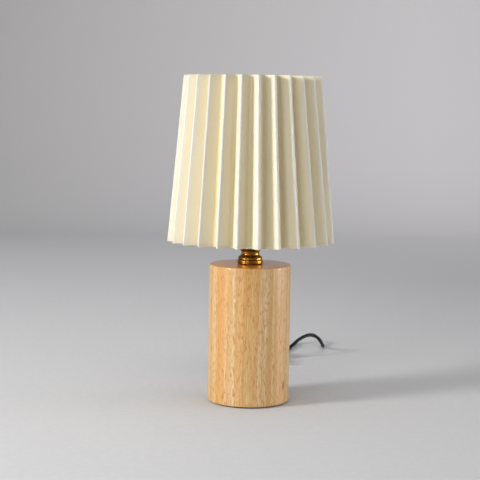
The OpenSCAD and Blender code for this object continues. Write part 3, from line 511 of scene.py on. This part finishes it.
def cloth_material():
    """Ivory slub cloth: painted bounce light behind its ridges, painted shade in its valleys and at the lower
    hem's crease.
    """
    s = Shader("ivory_cloth", (0.88, 0.82, 0.66), 0.85)
    threads = s.noise(s.scaled((900, 22, 1), "UV"), detail=2, rough=0.6)
    wefts = s.noise(s.scaled((30, 1100, 1), "UV", (3, 7, 0)), detail=2, rough=0.6)
    slubs = s.noise(s.scaled((420, 7, 1), "UV", (11, 2, 0)), detail=1)
    cloud = s.noise(s.scaled((9, 9, 1), "UV", (5, 5, 0)), detail=2)
    fine = s.blend(threads, 0.6, wefts, 0.4)
    tone = s.blend(fine, 0.5, slubs, 0.5)
    color = s.mix(s.range(cloud, 0.35, 0.65, 0.0, 0.3), s.ramp(tone, CLOTH_TONES), CLOTH_CLOUD)
    x, y, z = s.place()
    ridge = s.range(z, SHADE_LOW * MM, (SHADE_LOW + SHADE_H) * MM, BOTTOM_R * MM, TOP_R * MM)
    depth = s.math("SUBTRACT", ridge, s.length(x, y))
    # Painted bounce light: the cloth turns warmer a few millimetres behind each ridge.
    color = s.mix(s.range(depth, 0.0008, 0.0035, 0.0, 0.42), color, CLOTH_PAINTED_BOUNCE)
    # Painted shade: the deep valleys are darkened and yellowed.
    color = s.mix(s.range(depth, 0.009, 0.0155, 0.0, 0.36), color, CLOTH_VALLEY_PAINTED_SHADE)
    # Painted shade: a thin darker line at the lower hem's crease, and none at the upper hem.
    line = s.range(s.away(z, (SHADE_LOW + HEM_H) * MM), 0.0, 0.0006, 1.0, 0.0)
    color = s.mix(s.math("MULTIPLY", line, 0.3), color, CLOTH_CREASE_PAINTED_SHADE)
    s.drive("Base Color", color)
    s.set("Sheen Weight", 0.05).set("Sheen Roughness", 0.5)
    s.bump(fine, 0.35, 0.0003)
    s.let_light_through(s.mix(0.5, color, CLOTH_THROUGH))
    return s.material


def wood_material():
    """Lacquered honey wood: grain along Z, redder layers, dashes, pores, a knot and darker end grain on top."""
    s = Shader("honey_wood", (0.66, 0.43, 0.22), 0.38)
    x, y, z = s.place()
    fibres = s.noise(s.scaled((1300, 1300, 60)), rough=0.65)
    streaks = s.noise(s.scaled((230, 230, 3), offset=(3, 1, 2)), detail=4, rough=0.65, distortion=0.03)
    bands = s.noise(s.scaled((46, 46, 1.6), offset=(7, 5, 1)), detail=2, distortion=0.08)
    wander = s.noise(s.scaled((30, 30, 9), offset=(1.7, 4.4, 0.3)), detail=2)
    dashes = s.noise(s.scaled((720, 720, 150), offset=(1, 9, 4)), detail=2)
    pores = s.noise(s.scaled((1500, 1500, 190), offset=(1, 9, 4)), detail=1)
    color = s.ramp(s.blend(streaks, 0.6, bands, 0.4), WOOD_TONES)
    layer = s.math("ADD", x, s.math("MULTIPLY", s.math("SUBTRACT", wander, 0.5), 0.007))
    for at, reach, strength in RED_LAYERS:
        color = s.mix(s.range(s.away(layer, at), reach * 0.3, reach, strength, 0.0), color, WOOD_RED)
    color = s.mix(s.range(fibres, 0.42, 0.60, 0.5, 0.0), color, WOOD_FIBRE)
    color = s.mix(s.range(dashes, 0.55, 0.66, 0.0, 0.9), color, WOOD_DASH)
    pore = s.range(pores, 0.60, 0.68, 0.0, 0.5)
    color = s.mix(pore, color, WOOD_PORE)
    from_knot = s.length(*(s.math("MULTIPLY", s.math("SUBTRACT", axis, place), 1 / size)
                           for axis, place, size in zip((x, z), KNOT_PLACE, KNOT_SIZE)))
    knot = s.math("MULTIPLY", s.range(from_knot, 0.4, 1.2, 0.9, 0.0), s.range(y, -0.02, -0.01, 1.0, 0.0))
    color = s.mix(knot, color, KNOT)
    geometry = s.tree.nodes.new("ShaderNodeNewGeometry")
    normal = s.tree.nodes.new("ShaderNodeSeparateXYZ")
    s.link(geometry.outputs["Normal"], normal.inputs["Vector"])
    ends = s.range(normal.outputs["Z"], 0.55, 0.95, 0.0, 1.0)
    end_grain = s.noise(s.scaled(520), rough=0.6)
    s.drive("Base Color", s.mix(ends, color, s.ramp(end_grain, WOOD_END_TONES)))
    s.drive("Coat Weight", s.range(ends, 0.0, 1.0, 0.4, 0.6))
    s.drive("Coat Roughness", s.range(ends, 0.0, 1.0, 0.2, 0.1))
    s.drive("Roughness", s.range(fibres, 0.3, 0.7, 0.5, 0.36))
    s.bump(s.math("SUBTRACT", fibres, s.math("MULTIPLY", pore, 1.2)), 0.15, 0.0003)
    return s.material


def metal_material(name, color, dark, roughness):
    """A metal with darker and duller smudges."""
    s = Shader(name, color, roughness, 1.0)
    smudge = s.noise(s.scaled(90), detail=4, rough=0.6)
    fine = s.noise(s.scaled(1260, offset=(2, 3, 4)), detail=2)
    s.drive("Base Color", s.mix(s.range(smudge, 0.35, 0.7, 0.0, 0.5), color, dark))
    s.drive("Roughness", s.range(smudge, 0.3, 0.7, roughness - 0.06, roughness + 0.1))
    s.bump(fine, 0.06, 0.0002)
    return s.material


def neck_material():
    """Aged brass with a brown patina, painted shade in its grooves and painted shade and reflection on its upper
    rim.
    """
    s = Shader("aged_brass", (0.46, 0.26, 0.07), 0.26, 1.0)
    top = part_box("brass_neck")[1][2]
    z = s.place()[2]
    smudge = s.noise(s.scaled((150, 150, 260)), detail=4, rough=0.65)
    fine = s.noise(s.scaled((60, 60, 3000), offset=(2, 3, 4)), detail=2)
    color = s.mix(s.range(smudge, 0.38, 0.68, 0.0, 0.65), NECK_BRASS, NECK_PATINA)
    # Painted shade and painted reflection: the upper rim goes near-black under the shade.
    color = s.mix(s.range(z, top - 0.0022, top - 0.0012, 0.0, 0.9), color, NECK_RIM_PAINTED_SHADE)
    # Painted shade: dark lines along the neck's two grooves.
    for groove in NECK_GROOVE_PLACES:
        near = s.away(z, top - NECK_H + groove)
        color = s.mix(s.range(near, 0.0002, 0.0007, 0.8, 0.0), color, NECK_GROOVE_PAINTED_SHADE)
    s.drive("Base Color", color)
    s.drive("Roughness", s.range(smudge, 0.3, 0.7, 0.22, 0.30))
    s.bump(fine, 0.03, 0.0002)
    return s.material


def plastic_material(name, color, roughness, grain, strength, specular=0.5):
    """A plastic, enamel or glaze with a fine grain and faint clouds of a lighter tone."""
    s = Shader(name, color, roughness)
    s.set("Specular IOR Level", specular)
    fine = s.noise(s.scaled(grain), detail=2, rough=0.6)
    cloud = s.noise(s.scaled(45, offset=(4, 2, 8)))
    light = tuple(min(1, c * 1.35 + 0.002) for c in color)
    s.drive("Base Color", s.mix(s.range(cloud, 0.35, 0.65, 0.0, 0.7), color, light))
    s.drive("Roughness", s.range(cloud, 0.3, 0.7, roughness - 0.05, roughness + 0.07))
    s.bump(fine, strength, 0.0002)
    return s.material


def glass_material():
    s = Shader("frosted_glass", (0.90, 0.89, 0.86), 0.55)
    cloud = s.range(s.noise(s.scaled(60)), 0.35, 0.65, 0.0, 0.5)
    s.drive("Base Color", s.mix(cloud, (0.91, 0.90, 0.87), (0.86, 0.85, 0.82)))
    s.set("Transmission Weight", 0.35).set("Subsurface Weight", 0.3).set("Subsurface Scale", 0.01)
    s.bump(s.noise(s.scaled(1800), detail=2), 0.05, 0.0001)
    return s.material


def felt_material():
    s = Shader("dark_felt", (0.035, 0.03, 0.028), 0.95)
    hair = s.noise(s.scaled(1600), detail=4, rough=0.7)
    s.drive("Base Color", s.ramp(hair, [(0.35, (0.02, 0.018, 0.016)), (0.7, (0.07, 0.062, 0.055))]))
    s.set("Sheen Weight", 0.3)
    s.bump(hair, 0.6, 0.0006)
    return s.material


def paint(names, material):
    """Gives the named CAD nodes a material."""
    for name in names:
        mesh = nodes[name].data
        mesh.materials.clear()
        mesh.materials.append(material)


cloth.data.materials.append(cloth_material())
cloth.data.materials.append(lining_material())
cloth.modifiers["thickness"].material_offset = 1
cord_look = plastic_material("black_cord_sheath", (0.004, 0.004, 0.004), 0.42, 1400, 0.1, 0.2)
for piece in (first_cord, second_cord):
    piece.data.materials.append(cord_look)
paint(["inner_cord", "coil_tie"], cord_look)
paint(["wood_base"], wood_material())
paint(["brass_neck"], neck_material())
paint(["bulb_globe"], glass_material())
paint(["base_pad"], felt_material())
# Pieces, then the material's name, colour, darker colour and roughness
for names, *look in (
    (["holder_cap", "holder_sleeve", "shade_ring_nut"],
     "satin_brass", (0.60, 0.42, 0.18), (0.34, 0.20, 0.07), 0.34),
    (["screw_shell", "centre_contact", "terminal_screws", "switch_contacts"],
     "bright_brass", (0.80, 0.60, 0.26), (0.60, 0.40, 0.15), 0.22),
    (["threaded_tube", "bottom_washer", "bottom_nut", "switch_screws"],
     "zinc_steel", (0.60, 0.60, 0.58), (0.42, 0.42, 0.42), 0.36),
    (["bulb_cap", "bulb_contact"], "bright_aluminium", (0.80, 0.79, 0.77), (0.62, 0.61, 0.6), 0.24),
    (["plug_pins"], "nickel", (0.72, 0.71, 0.69), (0.55, 0.54, 0.52), 0.18),
):
    paint(names, metal_material(*look))
# Pieces, then the material's name, colour, roughness, fineness of its grain and strength of its grain
for names, *look in (
    (["porcelain_core"], "white_porcelain", (0.82, 0.80, 0.75), 0.18, 500, 0.03),
    (["top_ring", "bottom_ring", "shade_fitter", "fitter_arm_1", "fitter_arm_2", "fitter_arm_3",
      "shade_strut_1", "shade_strut_2", "shade_strut_3", "shade_strut_4", "shade_strut_5"],
     "white_enamel", (0.80, 0.78, 0.72), 0.32, 700, 0.08),
    (["bulb_insulator"], "black_glass", (0.012, 0.012, 0.014), 0.12, 500, 0.02),
    (["strain_relief", "plug_body"], "black_moulding", (0.016, 0.016, 0.016), 0.46, 1100, 0.2),
    (["switch_lower_shell", "switch_upper_shell"], "black_housing", (0.014, 0.014, 0.014), 0.40, 1300, 0.25),
    (["switch_rocker"], "black_gloss_rocker", (0.018, 0.018, 0.018), 0.22, 500, 0.03),
    (["live_wire"], "brown_insulation", (0.16, 0.06, 0.025), 0.4, 900, 0.05),
    (["neutral_wire"], "blue_insulation", (0.03, 0.09, 0.30), 0.4, 900, 0.05),
):
    paint(names, plastic_material(*look))

HARD_EDGE = radians(28)
REPLACED = ("shade_cloth", "cord_to_switch", "cord_from_switch", "cord_coil", "cord_to_plug")
for name, node in nodes.items():
    if name not in REPLACED:
        smooth_by_angle(node.data, HARD_EDGE)


# Floor, backdrop and light, in metres

FLOOR_FRONT, WALL_Y, WALL_H, HALF_WIDTH = -3.4, 2.4, 4.5, 4.0
BEND_R, BEND_STEPS = 0.6, 12


def paper_material():
    """Pale paper with painted shade that darkens the floor to the right and painted light that brightens the wall
    to the right.
    """
    s = Shader("studio_paper", (0.60, 0.59, 0.59), 0.95)
    s.set("Specular IOR Level", 0.1)
    x, y, _ = s.place()
    grain = s.noise(s.scaled(140), detail=2)
    floor = s.ramp(grain, [(0.3, (0.580, 0.578, 0.584)), (0.7, (0.604, 0.602, 0.608))])
    # Painted shade: the floor darkens to the right, away from the key light.
    floor = s.mix(s.range(x, -0.1, 0.6, 0.0, 0.5), floor, (0.42, 0.42, 0.426))
    # Painted light: the wall brightens to the right, as if lit more there.
    wall = s.ramp(s.range(x, -0.8, 0.5, 0.0, 1.0), [(0.0, (0.465, 0.455, 0.455)), (1.0, (0.76, 0.74, 0.745))])
    s.drive("Base Color", s.mix(s.range(y, 1.0, 2.2, 0.0, 1.0), floor, wall))
    return s.material


def backdrop():
    """One sheet: the floor, a soft curve and the wall behind."""
    profile = [(FLOOR_FRONT, 0.0), (WALL_Y - BEND_R, 0.0)]
    for i in range(1, BEND_STEPS + 1):
        a = pi / 2 * i / BEND_STEPS
        profile.append((WALL_Y - BEND_R + BEND_R * sin(a), BEND_R - BEND_R * cos(a)))
    profile.append((WALL_Y, WALL_H))
    verts = [(x, y, z) for y, z in profile for x in (-HALF_WIDTH, HALF_WIDTH)]
    faces = [(2 * i, 2 * i + 1, 2 * i + 3, 2 * i + 2) for i in range(len(profile) - 1)]
    obj = mesh_object("studio_floor", verts, faces, None)
    obj.data.materials.append(paper_material())


def area_light(name, target, azimuth, elevation, distance, width, height, spread, power, color):
    """A disc, or a rectangle if it has a height, that shines on its target."""
    data = bpy.data.lights.new(name, "AREA")
    data.shape = "RECTANGLE" if height else "DISK"
    data.size = width
    if height:
        data.size_y = height
    data.energy = power
    data.spread = radians(spread)
    data.color = color
    obj = bpy.data.objects.new(name, data)
    scene.collection.objects.link(obj)
    a, e = radians(azimuth), radians(elevation)
    target = Vector(target)
    obj.location = target + distance * Vector((cos(e) * sin(a), -cos(e) * cos(a), sin(e)))
    obj.rotation_euler = (target - obj.location).to_track_quat("-Z", "Y").to_euler()


backdrop()
KEY_WHITE = (1.0, 0.985, 0.96)
FILL_WHITE = (1.0, 0.98, 0.95)
WARM_WHITE = (1.0, 0.97, 0.93)
TOP_WHITE = (1.0, 0.99, 0.98)
# Name, target, azimuth, elevation, distance, width, height, spread, power, colour, with angles in degrees
for light in (
    ("key", (0, 0, 0.22), -64, 19, 2.4, 0.6, None, 180, 46, KEY_WHITE),
    ("left_low", (0, 0, 0.12), -58, 4, 2.4, 0.4, None, 40, 0.52, KEY_WHITE),
    ("left_fill", (0, 0, 0.22), -28, 14, 2.4, 1.2, None, 180, 14, FILL_WHITE),
    ("right_fill", (0, 0, 0.2), 58, 22, 2.6, 2.0, None, 180, 3, WARM_WHITE),
    ("top_soft", (0, 0.1, 0), 0, 86, 2.6, 2.2, None, 180, 11, TOP_WHITE),
    ("right_edge", (0, 0, 0.06), 92, 4, 2.0, 1.4, 0.3, 50, 2.6, WARM_WHITE),
):
    area_light(*light)

world = bpy.data.worlds.new("studio")
scene.world = world
world.use_nodes = True
SKY_COLOR = (0.92, 0.95, 1.0, 1)
SKY_STRENGTH = 0.43
sky = world.node_tree.nodes["Background"]
sky.inputs["Color"].default_value = SKY_COLOR
sky.inputs["Strength"].default_value = SKY_STRENGTH
scene.view_settings.view_transform = "Standard"
scene.view_settings.look = "None"

bpy.context.view_layer.update()
